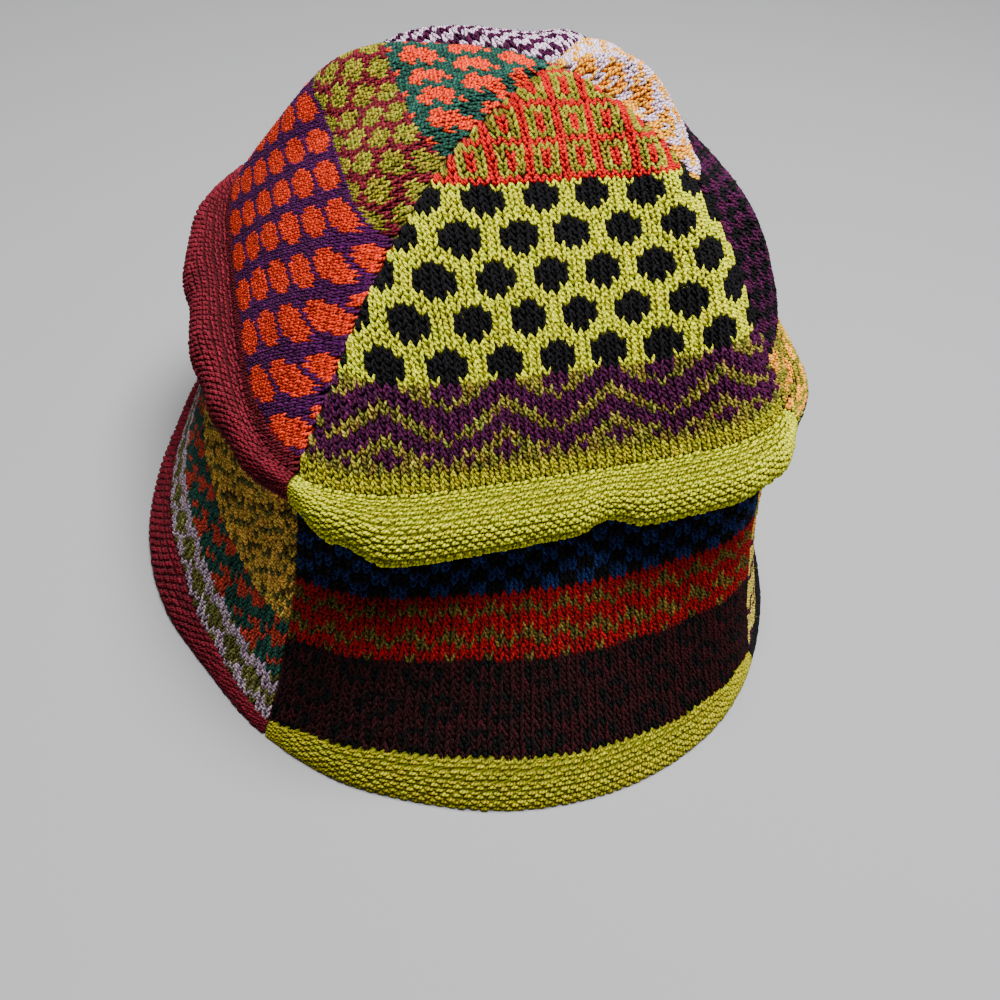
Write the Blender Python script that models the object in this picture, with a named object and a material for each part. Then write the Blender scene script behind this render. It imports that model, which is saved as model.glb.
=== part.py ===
"""A knitted patchwork bucket hat: four crown gores, four rolled lips, four brim panels and four hems.

Metres, +Z up. The origin is on the ground under the middle of the whole hat, which stands on its hems.
The front quarter faces -Y, the left one -X, the back one +Y and the right one +X.
"""

import math

import bpy
from mathutils import Vector

MM = 0.001

# Driving sizes of the whole hat; places are measured from the ridge's middle until a piece is made
CROWN_TOP = 159.5 * MM         # height of the crown where the four gores meet
APEX_X, APEX_Y = 21 * MM, 6 * MM   # the top sits off centre, as the soft crown leans
RIDGE_HEIGHT = 96 * MM         # height of the seam between crown and brim
RIDGE_RISE_RIGHT = 3.6 * MM    # how much higher that seam is on the right than in the middle
RIDGE_RISE_BACK = 2.8 * MM     # and at the back
RIDGE_MIDDLE = Vector((8.2 * MM, 4.4 * MM, 0))   # the brim flares most to the left and the front
WALL = 3 * MM                  # thickness of the knitted cloth
GAP = 0.3 * MM                 # clearance between neighbouring pieces

# Half-widths of the two closed outlines, seen from above, towards each side of the hat
RIDGE = {"left": 78 * MM, "right": 80 * MM, "front": 97 * MM, "back": 90 * MM}
RIM = {"left": 117 * MM, "right": 102 * MM, "front": 140 * MM, "back": 131 * MM}
RIDGE_SQUARENESS = {"left": 4.4, "right": 5.2}
RIM_SQUARENESS = {"left": 2.1, "right": 2.35}

CROWN_FULLNESS = 2.9           # exponent of the crown's profile: 2 is a plain dome, more is flatter on top
SEAM_VALLEY = 2.6 * MM         # how far the gores sink at the seams between them
VALLEY_SHARE = 0.16            # share of a gore's width that each valley takes
APEX_DIMPLE = 2 * MM           # how far the middle of the crown sinks below its shoulders
DIMPLE_REACH = 0.16            # and how far down the gore the dimple reaches
BRIM_HOLLOW = 4 * MM           # how far the brim curves in between its two edges
BRIM_SET_IN = 1 * MM           # the brim's top edge lies this far inside the ridge

# The quarters of the hat, as the angle where each one starts and the side that it faces
QUARTERS = {"front": -135, "right": -45, "back": 45, "left": 135}
QUARTER_TURN = math.radians(90)

# How far each rolled lip stands out from the ridge and hangs down, across its quarter, in mm
LIP_ROWS = {
    #          share, out, down
    "front": [(0.00, 4.0, 5.0), (0.09, 9.0, 9.5), (0.17, 13.5, 12.5), (0.32, 13.0, 11.5),
              (0.52, 12.5, 11.0), (0.60, 10.0, 8.8), (0.68, 12.5, 11.0), (0.84, 12.0, 10.5),
              (0.93, 10.0, 9.0), (1.00, 5.0, 6.0)],
    "right": [(0.00, 5.0, 6.0), (0.12, 9.5, 8.5), (0.30, 12.0, 11.0), (0.55, 13.0, 11.5),
              (0.80, 12.0, 11.0), (1.00, 4.5, 5.0)],
    "back": [(0.00, 4.5, 5.0), (0.15, 11.0, 10.5), (0.35, 13.0, 12.0), (0.48, 11.0, 10.0),
             (0.65, 13.0, 12.0), (0.85, 11.5, 11.0), (1.00, 4.5, 5.0)],
    "left": [(0.00, 5.0, 5.0), (0.16, 14.0, 12.0), (0.34, 16.5, 14.0), (0.45, 14.5, 13.0),
             (0.58, 15.5, 14.0), (0.74, 11.5, 11.5), (0.88, 7.0, 8.0), (1.00, 4.0, 5.0)],
}

# Soft bumps and dents of the crown: where they are across and down the gore, in shares, and their height in mm
CROWN_FOLDS = {
    #         across, down, reach, height
    "front": [(0.50, 0.62, 0.34, 1.5), (0.85, 0.85, 0.20, 1.5)],
    "right": [(0.34, 0.34, 0.32, 6.0), (0.18, 0.58, 0.20, -3.0), (0.22, 0.80, 0.30, 6.0)],
    "back": [(0.80, 0.50, 0.30, 1.5), (0.30, 0.45, 0.34, -2.0)],
    "left": [(0.20, 0.56, 0.30, 6.0), (0.75, 0.80, 0.24, -1.5)],
}

# Slow waves of the brim between its seams: where, how wide, and how far out, in mm
BRIM_WAVES = {
    #         across, reach, height
    "front": [(0.50, 0.30, 1.5), (0.14, 0.14, 0.8)],
    "right": [(0.55, 0.30, -2.5)],
    "back": [(0.35, 0.26, 2.5), (0.75, 0.24, -2.5)],
    "left": [(0.28, 0.28, -4.0), (0.64, 0.18, 1.0), (0.86, 0.14, -1.5)],
}

# Height of each solid-colour hem across its quarter, in mm: it is caught low at the seams
HEM_ROWS = {
    #         share, height
    "front": [(0.00, 5.0), (0.10, 9.5), (0.22, 12.5), (0.36, 14.0), (0.60, 13.0), (0.82, 11.0),
              (0.93, 8.0), (1.00, 5.0)],
    "right": [(0.00, 5.0), (0.15, 10.0), (0.40, 14.0), (0.75, 13.5), (0.90, 9.0), (1.00, 6.0)],
    "back": [(0.00, 6.0), (0.18, 12.0), (0.50, 14.5), (0.80, 12.5), (1.00, 7.0)],
    "left": [(0.00, 7.0), (0.20, 13.0), (0.45, 15.5), (0.68, 15.0), (0.82, 9.0), (0.91, 6.0), (1.00, 4.5)],
}
FULL_HEM = 14 * MM             # a hem of this height has the whole roll of the section below

# The rolled lip's section, as shares of how far it stands out and hangs down, plus mm
LIP_TOP = [(0.0, -3.0, 0.0, 0.0), (0.0, 0.6, 0.0, -0.1), (0.42, 1.0, 0.08, 0.0), (0.80, 0.4, 0.38, 0.0),
           (1.0, 0.0, 0.82, 0.0), (0.97, 0.0, 1.12, 0.6)]
LIP_UNDER = [(0.0, -3.0, 0.0, 3.0), (0.0, 0.2, 0.0, 3.2), (0.22, 0.2, 0.20, 3.3), (0.48, 0.2, 0.55, 3.4),
             (0.68, 0.1, 0.90, 2.8), (0.84, 0.0, 1.14, 1.6)]
LIP_ROOT = 3.2 * MM            # thickness of the lip where it is sewn between crown and brim

# The hem's section: mm out from the brim's face, mm more at a full roll, and the share of its height
HEM_OUTER = [(0.0, 0.0, 1.00), (0.0, 1.5, 0.86), (0.2, 2.2, 0.52), (0.2, 1.7, 0.20), (0.0, 0.1, 0.00)]
HEM_INNER = [(-3.0, 0.0, 1.00), (-3.0, -0.9, 0.86), (-3.2, -1.3, 0.52), (-3.4, -1.0, 0.20), (-3.3, 0.0, 0.00)]

# How finely each piece is divided, and the small hole left where the gores meet
GORE_COLUMNS, GORE_ROWS = 16, 10
LIP_COLUMNS = 24
BRIM_COLUMNS, BRIM_ROWS = 18, 5
APEX_OPEN = 0.015

COLOURS = {
    "front": {"crown": (0.50, 0.55, 0.08), "lip": (0.50, 0.56, 0.06), "brim": (0.16, 0.01, 0.02),
              "hem": (0.40, 0.45, 0.05)},
    "right": {"crown": (0.10, 0.03, 0.10), "lip": (0.02, 0.02, 0.02), "brim": (0.35, 0.17, 0.04),
              "hem": (0.02, 0.02, 0.02)},
    "back": {"crown": (0.35, 0.22, 0.38), "lip": (0.16, 0.05, 0.20), "brim": (0.08, 0.14, 0.10),
             "hem": (0.16, 0.05, 0.20)},
    "left": {"crown": (0.42, 0.09, 0.10), "lip": (0.16, 0.02, 0.04), "brim": (0.17, 0.10, 0.02),
             "hem": (0.16, 0.02, 0.04)},
}


def clear_scene():
    for old in list(bpy.data.objects):
        bpy.data.objects.remove(old, do_unlink=True)


def smooth(x):
    """A soft step from 0 to 1."""
    x = min(1.0, max(0.0, x))
    return x * x * (3 - 2 * x)


def between_rows(rows, share):
    """The columns of a table, read smoothly at a share of the way across."""
    for low, high in zip(rows, rows[1:]):
        if share <= high[0]:
            blend = smooth((share - low[0]) / (high[0] - low[0]))
            return [a + (b - a) * blend for a, b in zip(low[1:], high[1:])]
    return list(rows[-1][1:])


def squared_oval(angle, halves, squareness):
    """A point of a closed outline that runs from an oval, at 2, to a rounded square."""
    c, s = math.cos(angle), math.sin(angle)
    power = squareness["left" if c < 0 else "right"]
    reach = (abs(c) ** power + abs(s) ** power) ** (-1 / power)
    half_x = halves["left" if c < 0 else "right"]
    half_y = halves["front" if s < 0 else "back"]
    return Vector((half_x * reach * c, half_y * reach * s, 0))


def outward(angle, halves, squareness):
    """The level direction that points straight out of an outline."""
    step = 0.01
    along = squared_oval(angle + step, halves, squareness) - squared_oval(angle - step, halves, squareness)
    return Vector((along.y, -along.x, 0)).normalized()


def ridge_level(x, y):
    """Height of the seam between crown and brim, which lies in one slanting plane."""
    return RIDGE_HEIGHT + RIDGE_RISE_RIGHT * x / RIDGE["right"] + RIDGE_RISE_BACK * y / RIDGE["back"]


def ridge_point(angle, out=0.0, down=0.0):
    """A point out from the ridge and down from it."""
    p = squared_oval(angle, RIDGE, RIDGE_SQUARENESS)
    level = ridge_level(p.x, p.y)
    p += outward(angle, RIDGE, RIDGE_SQUARENESS) * out
    p.z = level - down
    return p


def ridge_speed(angle):
    """Length of ridge for each radian."""
    step = 0.01
    return (ridge_point(angle + step) - ridge_point(angle - step)).length / (2 * step)


def quarter_angle(quarter, share, closeness=1.0):
    """The angle at a share of the way across a quarter, kept half a gap clear of the seams at its ends."""
    start = math.radians(QUARTERS[quarter])
    clear = [0.5 * GAP / (ridge_speed(start + turn) * closeness) for turn in (0, QUARTER_TURN)]
    return start + clear[0] + (QUARTER_TURN - clear[0] - clear[1]) * share


def crown_swell(quarter, share, down):
    """How far a gore puffs out beyond the plain dome: folds, the valleys at its seams, and the dimple."""
    from_seam = min(share, 1 - share) / VALLEY_SHARE
    swell = -SEAM_VALLEY * (1 - smooth(from_seam)) * smooth(down / 0.15) * smooth((1.04 - down) / 0.2)
    swell -= APEX_DIMPLE * (1 - smooth(down / DIMPLE_REACH))
    for across, along, reach, height in CROWN_FOLDS[quarter]:
        away = math.hypot(share - across, down - along) / reach
        swell += height * MM * (1 - smooth(away)) * smooth(from_seam) * smooth((1 - down) / 0.1)
    return swell


def crown_point(quarter, share, down, inset):
    """A point of the crown: down is 0 at the top and 1 at the ridge, inset is the depth into the cloth."""
    angle = quarter_angle(quarter, share, closeness=down)
    edge = ridge_point(angle, out=-inset)
    top = Vector((APEX_X, APEX_Y, CROWN_TOP - inset))
    p = top + (edge - top) * down
    p.z = edge.z + (top.z - edge.z) * (1 - down ** CROWN_FULLNESS)
    swell = crown_swell(quarter, share, down)
    lean = smooth(down)
    p += Vector((0, 0, 1)) * swell * (1 - 0.6 * lean)
    p += outward(angle, RIDGE, RIDGE_SQUARENESS) * swell * 0.8 * lean
    return p


def lip_point(quarter, share, corner):
    """A point of the rolled lip's section: corner is a row of LIP_TOP or LIP_UNDER."""
    out, down = (x * MM for x in between_rows(LIP_ROWS[quarter], share))
    out_share, out_mm, down_share, down_mm = corner
    return ridge_point(
        quarter_angle(quarter, share),
        out=out_share * out + out_mm * MM,
        down=down_share * down + down_mm * MM + GAP,
    )


def brim_point(quarter, share, down, out=0.0):
    """A point of the brim's face: down is 0 at the ridge and 1 on the ground."""
    angle = quarter_angle(quarter, share)
    top = ridge_point(angle, out=-BRIM_SET_IN, down=LIP_ROOT + 2 * GAP)
    foot = squared_oval(angle, RIM, RIM_SQUARENESS)
    p = top + (foot - top) * down
    wave = -BRIM_HOLLOW * math.sin(math.pi * down)
    for across, reach, height in BRIM_WAVES[quarter]:
        wave += height * MM * (1 - smooth(abs(share - across) / reach)) * smooth(down / 0.8)
    direction = outward(angle, RIDGE, RIDGE_SQUARENESS).lerp(outward(angle, RIM, RIM_SQUARENESS), down)
    return p + direction.normalized() * (wave + out)


def brim_down(quarter, share, height):
    """How far down the brim a height above the ground is, as a share."""
    top = ridge_point(quarter_angle(quarter, share), down=LIP_ROOT + 2 * GAP)
    return 1 - height / top.z


def hem_height(quarter, share):
    """How high the hem stands at a share of the way across its quarter."""
    return between_rows(HEM_ROWS[quarter], share)[0] * MM


def knit_cloth(name, colour):
    """Matt knitted yarn in the piece's main colour."""
    material = bpy.data.materials.new(name + "_yarn")
    material.use_nodes = True
    shader = material.node_tree.nodes["Principled BSDF"]
    shader.inputs["Base Color"].default_value = (*colour, 1)
    shader.inputs["Roughness"].default_value = 0.9
    shader.inputs["Metallic"].default_value = 0.0
    material.diffuse_color = (*colour, 1)
    return material


def closed_wall(name, outer, inner, colour):
    """One closed solid between two faces, each a list of columns of points from one edge to the other."""
    columns = len(outer)
    rows = len(outer[0])
    points = [p + RIDGE_MIDDLE for face in (outer, inner) for column in face for p in column]
    second = columns * rows

    def at(column, row):
        return column * rows + row

    faces = []
    for i in range(columns - 1):
        for j in range(rows - 1):
            a, b, c, d = at(i, j), at(i + 1, j), at(i + 1, j + 1), at(i, j + 1)
            faces.append((a, d, c, b))
            faces.append((a + second, b + second, c + second, d + second))
        for row, flip in ((0, False), (rows - 1, True)):
            a, b = at(i, row), at(i + 1, row)
            side = (a, b, b + second, a + second)
            faces.append(side[::-1] if flip else side)
    for j in range(rows - 1):
        for column, flip in ((0, True), (columns - 1, False)):
            a, b = at(column, j), at(column, j + 1)
            side = (a, b, b + second, a + second)
            faces.append(side[::-1] if flip else side)
    mesh = bpy.data.meshes.new(name)
    mesh.from_pydata(points, [], faces)
    mesh.validate()
    mesh.shade_smooth()
    mesh.set_sharp_from_angle(angle=math.radians(50))
    mesh.materials.append(knit_cloth(name, colour))
    piece = bpy.data.objects.new(name, mesh)
    bpy.context.scene.collection.objects.link(piece)
    return piece


def shares(count, ease=0.0, first=0.0):
    """Steps from first to 1, drawn together towards both ends by ease."""
    steps = [i / count for i in range(count + 1)]
    return [first + (1 - first) * ((1 - ease) * x + ease * smooth(x)) for x in steps]


def crown_gore(quarter):
    """A three-cornered knitted gore, from the top of the crown down to the ridge."""
    across = shares(GORE_COLUMNS, ease=0.5)
    down = shares(GORE_ROWS, ease=0.35, first=APEX_OPEN)
    faces = [[[crown_point(quarter, u, s, inset) for s in down] for u in across] for inset in (0, WALL)]
    return closed_wall("crown_" + quarter, *faces, COLOURS[quarter]["crown"])


def rolled_lip(quarter):
    """The gore's solid-colour edge, doubled and rolled out over the top of the brim."""
    across = shares(LIP_COLUMNS)
    faces = [[[lip_point(quarter, u, corner) for corner in side] for u in across] for side in (LIP_TOP, LIP_UNDER)]
    return closed_wall("lip_" + quarter, *faces, COLOURS[quarter]["lip"])


def brim_panel(quarter):
    """A knitted quarter of the brim, from under the lip down to the hem."""
    def face(out):
        columns = []
        for u in shares(BRIM_COLUMNS):
            last = brim_down(quarter, u, hem_height(quarter, u) + GAP)
            columns.append([brim_point(quarter, u, last * v, out) for v in shares(BRIM_ROWS)])
        return columns

    return closed_wall("brim_" + quarter, face(0), face(-WALL), COLOURS[quarter]["brim"])


def brim_hem(quarter):
    """The brim's doubled hem, rolled at its foot and pressed flat where it rests."""
    def face(side):
        columns = []
        for u in shares(BRIM_COLUMNS):
            height = hem_height(quarter, u)
            roll = height / FULL_HEM
            columns.append([
                brim_point(quarter, u, brim_down(quarter, u, height * up), (out + more * roll) * MM)
                for out, more, up in side
            ])
        return columns

    return closed_wall("hem_" + quarter, face(HEM_OUTER), face(HEM_INNER), COLOURS[quarter]["hem"])


clear_scene()
for side in QUARTERS:
    crown_gore(side)
    rolled_lip(side)
    brim_panel(side)
    brim_hem(side)
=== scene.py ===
"""Knitted patchwork bucket hat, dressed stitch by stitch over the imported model. Metres, +Z up."""

import math

import bpy
import numpy as np
from mathutils import Matrix, Vector


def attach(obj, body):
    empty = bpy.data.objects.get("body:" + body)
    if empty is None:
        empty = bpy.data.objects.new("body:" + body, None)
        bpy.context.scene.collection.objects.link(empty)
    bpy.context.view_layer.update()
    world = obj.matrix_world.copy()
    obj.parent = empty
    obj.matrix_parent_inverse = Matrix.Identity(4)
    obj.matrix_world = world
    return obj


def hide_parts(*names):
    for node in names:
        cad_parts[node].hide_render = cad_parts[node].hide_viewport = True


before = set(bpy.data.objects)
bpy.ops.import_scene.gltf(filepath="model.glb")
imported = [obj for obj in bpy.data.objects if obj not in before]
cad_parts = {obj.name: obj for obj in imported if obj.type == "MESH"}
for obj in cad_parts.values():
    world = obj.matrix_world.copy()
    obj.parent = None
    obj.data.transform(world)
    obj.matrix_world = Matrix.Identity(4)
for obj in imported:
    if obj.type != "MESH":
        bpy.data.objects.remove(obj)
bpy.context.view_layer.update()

# Camera: above the front left corner of the brim, looking down on the crown, rolled a little.
camera_data = bpy.data.cameras.new("photo_view")
camera_data.sensor_width = 36
camera_data.lens = 36
camera = bpy.data.objects.new("photo_view", camera_data)
bpy.context.scene.collection.objects.link(camera)
CAMERA_PLACE = Vector((-0.06332, -0.27108, 0.27284))
CAMERA_RIGHT = Vector((0.96953, -0.23519, 0.06849))
CAMERA_BACK = Vector((-0.21366, -0.67517, 0.70604))
camera_up = CAMERA_BACK.cross(CAMERA_RIGHT)
camera.matrix_world = Matrix.Translation(CAMERA_PLACE) @ Matrix(
    (CAMERA_RIGHT, camera_up, CAMERA_BACK)).transposed().to_4x4()
bpy.context.scene.camera = camera


# Crown gores: four triangles cut from knitted colourwork, sewn together with their seam allowances inside.
# Each is wool in bands of two yarns; the stitches stand in columns that the seams cut off at the sides.
MM = 0.001
SEED = 41
CROWN_TOP = 159.5
APEX_X, APEX_Y = 21, 6
RIDGE_HEIGHT = 96
RIDGE_RISE_RIGHT = 3.6
RIDGE_RISE_BACK = 2.8
RIDGE_MIDDLE = np.array([8.2, 4.4, 0])
GAP = 0.3
RIDGE = {"left": 78, "right": 80, "front": 97, "back": 90}
RIDGE_SQUARENESS = {"left": 4.4, "right": 5.2}
CROWN_FULLNESS = 2.9
SEAM_VALLEY = 2.6
VALLEY_SHARE = 0.16
APEX_DIMPLE = 2
DIMPLE_REACH = 0.16
QUARTERS = {"front": -135, "right": -45, "back": 45, "left": 135}
CROWN_FOLDS = {
    #         across, down, reach, height
    "front": [(0.50, 0.62, 0.34, 1.5), (0.85, 0.85, 0.20, 1.5)],
    "right": [(0.34, 0.34, 0.32, 6.0), (0.18, 0.58, 0.20, -3.0), (0.22, 0.80, 0.30, 6.0)],
    "back": [(0.80, 0.50, 0.30, 1.5), (0.30, 0.45, 0.34, -2.0)],
    "left": [(0.20, 0.56, 0.30, 6.0), (0.75, 0.80, 0.24, -1.5)],
}


def smooth(x):
    """A soft step from 0 to 1."""
    x = np.clip(x, 0, 1)
    return x * x * (3 - 2 * x)


def between_rows(rows, share):
    """The columns of a table, read smoothly at shares of the way across."""
    table = np.array(rows, float)
    stops = table[:, 0]
    low = np.clip(np.searchsorted(stops, share) - 1, 0, len(stops) - 2)
    blend = smooth((share - stops[low]) / (stops[low + 1] - stops[low]))
    return [table[low, k] + (table[low + 1, k] - table[low, k]) * blend for k in range(1, table.shape[1])]


def squared_oval(angle, halves, squareness):
    """Points of a closed outline that runs from an oval, at 2, to a rounded square."""
    c, s = np.cos(angle), np.sin(angle)
    power = np.where(c < 0, squareness["left"], squareness["right"])
    reach = (np.abs(c) ** power + np.abs(s) ** power) ** (-1 / power)
    half_x = np.where(c < 0, halves["left"], halves["right"])
    half_y = np.where(s < 0, halves["front"], halves["back"])
    return np.stack([half_x * reach * c, half_y * reach * s, 0 * c], -1)


def unit(v):
    return v / np.maximum(np.linalg.norm(v, axis=-1, keepdims=True), 1e-9)


def outward(angle, halves, squareness):
    """The level direction that points straight out of an outline."""
    step = 0.01
    along = squared_oval(angle + step, halves, squareness) - squared_oval(angle - step, halves, squareness)
    return unit(np.stack([along[..., 1], -along[..., 0], 0 * along[..., 0]], -1))


def ridge_point(angle, out=0.0, down=0.0):
    """Points out from the ridge, where crown and brim meet, and down from it."""
    p = squared_oval(angle, RIDGE, RIDGE_SQUARENESS)
    level = (RIDGE_HEIGHT + RIDGE_RISE_RIGHT * p[..., 0] / RIDGE["right"]
             + RIDGE_RISE_BACK * p[..., 1] / RIDGE["back"])
    p = p + outward(angle, RIDGE, RIDGE_SQUARENESS) * np.asarray(out)[..., None]
    p[..., 2] = level - down
    return p


def ridge_speed(angle):
    """Length of ridge for each radian."""
    step = 0.01
    ahead, behind = ridge_point(np.array(angle + step)), ridge_point(np.array(angle - step))
    return np.linalg.norm(ahead - behind) / (2 * step)


def quarter_angle(quarter, share, closeness=1.0):
    """The angle at a share of the way across a quarter, kept half a gap clear of the seams at its ends."""
    start = math.radians(QUARTERS[quarter])
    turn = math.pi / 2
    first, last = (0.5 * GAP / (ridge_speed(start + side) * closeness) for side in (0, turn))
    return start + first + (turn - first - last) * share


def crown_swell(quarter, share, down):
    """How far a gore puffs out beyond the plain dome: folds, the valleys at its seams, and the dimple."""
    from_seam = np.minimum(share, 1 - share) / VALLEY_SHARE
    swell = -SEAM_VALLEY * (1 - smooth(from_seam)) * smooth(down / 0.15) * smooth((1.04 - down) / 0.2)
    swell = swell - APEX_DIMPLE * (1 - smooth(down / DIMPLE_REACH))
    for across, along, reach, height in CROWN_FOLDS[quarter]:
        away = np.hypot(share - across, down - along) / reach
        swell = swell + height * (1 - smooth(away)) * smooth(from_seam) * smooth((1 - down) / 0.1)
    return swell


def crown_face(quarter, share, down):
    """Points of the crown's outer face: down is 0 at the top and 1 at the ridge."""
    angle = quarter_angle(quarter, share, closeness=np.maximum(down, 0.01))
    edge = ridge_point(angle)
    top = np.array([APEX_X, APEX_Y, CROWN_TOP])
    far = down[..., None]
    p = top + (edge - top) * far
    p[..., 2] = edge[..., 2] + (CROWN_TOP - edge[..., 2]) * (1 - down ** CROWN_FULLNESS)
    swell = crown_swell(quarter, share, down)[..., None]
    lean = smooth(far)
    p = p + np.array([0, 0, 1.0]) * swell * (1 - 0.6 * lean)
    return p + outward(angle, RIDGE, RIDGE_SQUARENESS) * swell * 0.8 * lean + RIDGE_MIDDLE


def face_and_normal(face, across, along, lowest=0.002):
    """Points of a face and the directions that point straight out of it."""
    step = 0.004
    low_u, high_u = np.clip(across - step, 0, 1), np.clip(across + step, 0, 1)
    low_v, high_v = np.clip(along - step, lowest, 1), np.clip(along + step, lowest, 1)
    du = face(high_u, along) - face(low_u, along)
    dv = face(across, high_v) - face(across, low_v)
    return face(across, along), unit(np.cross(dv, du))


def run_along(line):
    """The length of a line up to each of its points."""
    spans = np.linalg.norm(np.diff(line, axis=-2), axis=-1)
    return np.concatenate([np.zeros(spans.shape[:-1] + (1,)), np.cumsum(spans, -1)], -1)


def running_total(values):
    return np.concatenate([[0], np.cumsum(values)])


# The knitting: how wide and tall a stitch is, and the yarns by their letters in the charts below
STITCH_WIDE = 2.62
STITCH_TALL = 1.67
YARNS = {
    #     red, green, blue, and how much the strands of the yarn differ from each other
    "l": (204, 206, 30, 0.10),     # lime
    "L": (164, 157, 24, 0.14),     # lime, darker and a little more olive: painted shade, for the shaded front hem and the foot of the front gore
    "k": (13, 11, 14, 0.25),       # black
    "r": (198, 0, 12, 0.12),       # red
    "o": (140, 132, 34, 0.30),     # olive marl
    "h": (122, 112, 38, 0.36),     # heather olive
    "p": (68, 13, 54, 0.24),       # purple
    "O": (230, 58, 18, 0.12),      # orange
    "g": (30, 72, 60, 0.22),       # bottle green
    "m": (112, 24, 38, 0.18),      # maroon
    "d": (42, 2, 10, 0.24),        # dark maroon
    "x": (6, 3, 5, 0.20),          # black, darker than k: painted shade, for the links band low on the front brim, which lies in shade
    "c": (140, 4, 10, 0.14),       # crimson
    "n": (25, 44, 94, 0.20),       # navy
    "w": (230, 206, 226, 0.08),    # lavender white
    "t": (172, 150, 164, 0.14),    # lavender white, greyed and darker: painted shade, for the lower brim
    "a": (252, 168, 44, 0.12),     # peach
    "y": (226, 204, 82, 0.10),     # pale yellow
    "u": (206, 162, 64, 0.24),     # mustard
    "z": (94, 92, 42, 0.26),       # moss
    "b": (90, 74, 24, 0.28),       # brown olive
    "v": (80, 16, 78, 0.20),       # violet
    "s": (176, 58, 40, 0.16),      # brick
}


def mirrored(halves):
    """A chart that is the same on both sides of its first and last column, from its left half."""
    return [half + half[-2:0:-1] for half in halves]


DOTS = ["llkkll", "lkkkkl", "lkkkkl", "lkkkkl", "llkkll", "llllll",
        "kllllk", "kkllkk", "kkllkk", "kkllkk", "kllllk", "llllll"]
RINGS = ["rooo", "roro", "roro", "roro", "rooo", "rrrr"]
CHEVRONS = mirrored(["pphhhpp", "ppphhpp", "hppphhp", "hhpppph", "phhpppp", "pphhppp", "ppphhpp",
                     "hppphhp", "hhpppph", "phhpppp", "pphhhpp", "phhhphp", "hhhhhhh"])
CROSSES = ["ggOOg", "gOOOO", "gOOOg", "OOOgg", "OOOOg", "gOOgg", "ggggg", "ggggO"]
SPARKS = ["moomm", "oooom", "oooom", "moomm", "ommmo", "oomoo", "oomoo", "ommmo"]
ROUNDELS = ["vvvvvvvv", "vvOOOOvv", "vOOOOOOv", "vOOOOOOv", "vOOOOOOv", "vvOOOOvv"]
MOTTLES = ["waaaww", "aawaaw", "waaaww", "wwwwwa", "aawwaa", "awaawa", "aawwaa", "wwawww"]
BLOCKS = ["ppkk", "ppkk", "kkpp", "kkpp"]
BEADS = ["ooaaoo", "oaaaao", "ooaaoo", "aooooa", "aaooaa", "aooooa"]
SNOW = ["wwpp", "wwpp", "ppww", "ppww"]
# Bands of each gore from the ridge up: rows of stitches, chart, and how far the chart is shifted
CROWN_BANDS = {
    # the three rows at the foot of the front gore are in L, the lime darkened as painted shade
    "front": [(3, ["L"], 0), (13, CHEVRONS, 2), (29, DOTS, 4), (96, RINGS, 0)],
    "right": [(8, BEADS, 0), (25, BLOCKS, 0), (96, MOTTLES, 0)],
    "back": [(3, ["p"], 0), (20, CROSSES, 0), (14, BLOCKS, 0), (96, SNOW, 0)],
    "left": [(3, ["m"], 0), (36, ROUNDELS, 4), (14, SPARKS, 0), (96, CROSSES, 0)],
}
# Height of the rows, from the ridge up: the cloth is stretched over the top of the crown
ROW_HEIGHTS = {
    #         rows, height of each
    "front": [(16, 1.69), (29, 1.738), (4, 2.0), (6, 2.25), (6, 2.95), (6, 3.7)],
    "right": [(90, 1.68)],
    "back": [(90, 1.68)],
    "left": [(40, 1.51), (50, 1.68)],
}
# How many stitches a column leans each row, for how many rows, and how far the first one is set over
CROWN_LEAN = {
    "front": (0.10, 90, -0.4),
    "right": (0.0, 90, 0.0),
    "back": (0.0, 90, 0.0),
    "left": (-0.58, 40, 0.5),
}

# One leg of a knit stitch, from its foot in the middle of the V to its tip
LEG = np.array([
    # across, up, half width, lift of its edges, lift of its top
    (0.03, -0.52, 0.00, 0.34, 0.34),
    (0.16, 0.02, 0.62, 0.12, 0.96),
    (0.37, 0.82, 0.60, -0.04, 0.80),
    (0.49, 1.42, 0.00, -0.10, 0.02),
])


def linear(red, green, blue):
    """A colour as the eye names it, turned into the light that it reflects."""
    c = np.array([red, green, blue]) / 255
    return np.where(c < 0.04045, c / 12.92, ((c + 0.055) / 1.055) ** 2.4)


def knitted_letters(bands, column, row):
    """The yarn of each stitch, by its column and its row counted up from the foot of the bands."""
    column, row = np.floor(column).astype(int), np.maximum(np.floor(row).astype(int), 0)
    letters = np.full(row.shape, bands[-1][1][0][0])
    foot = 0
    for rows, chart, shift in bands:
        grid = np.array([list(line) for line in chart])
        here = (row >= foot) & (row < foot + rows)
        from_top = rows - 1 - (row[here] - foot)
        letters[here] = grid[from_top % grid.shape[0], (column[here] + shift) % grid.shape[1]]
        foot += rows
    return letters


def yarn_colours(letters, draw):
    """The colour of each strand, a little different from its neighbours as heathered wool is."""
    colours = np.zeros(letters.shape + (3,))
    for letter in np.unique(letters):
        here = letters == letter
        red, green, blue, spread = YARNS[letter]
        count = int(here.sum())
        shade = np.exp(draw.normal(0, spread, (count, 1)))
        tint = 1 + draw.normal(0, spread * 0.25, (count, 3))
        colours[here] = linear(red, green, blue) * shade * tint
    return np.clip(colours, 0.002, 0.95)


# The baking map: each strand has a cell in the lower part, and the cloth behind them a band above
STRANDS_TALL = 0.8
CELL_MARGIN = 0.06
CLOTH_CORNER, CLOTH_SIZE = (0.05, 0.82), (0.9, 0.08)
STRAND_SHIFT, STRAND_PATTERN = 7.31, 50       # each strand's step in the yarn's pattern, and its length


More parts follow.
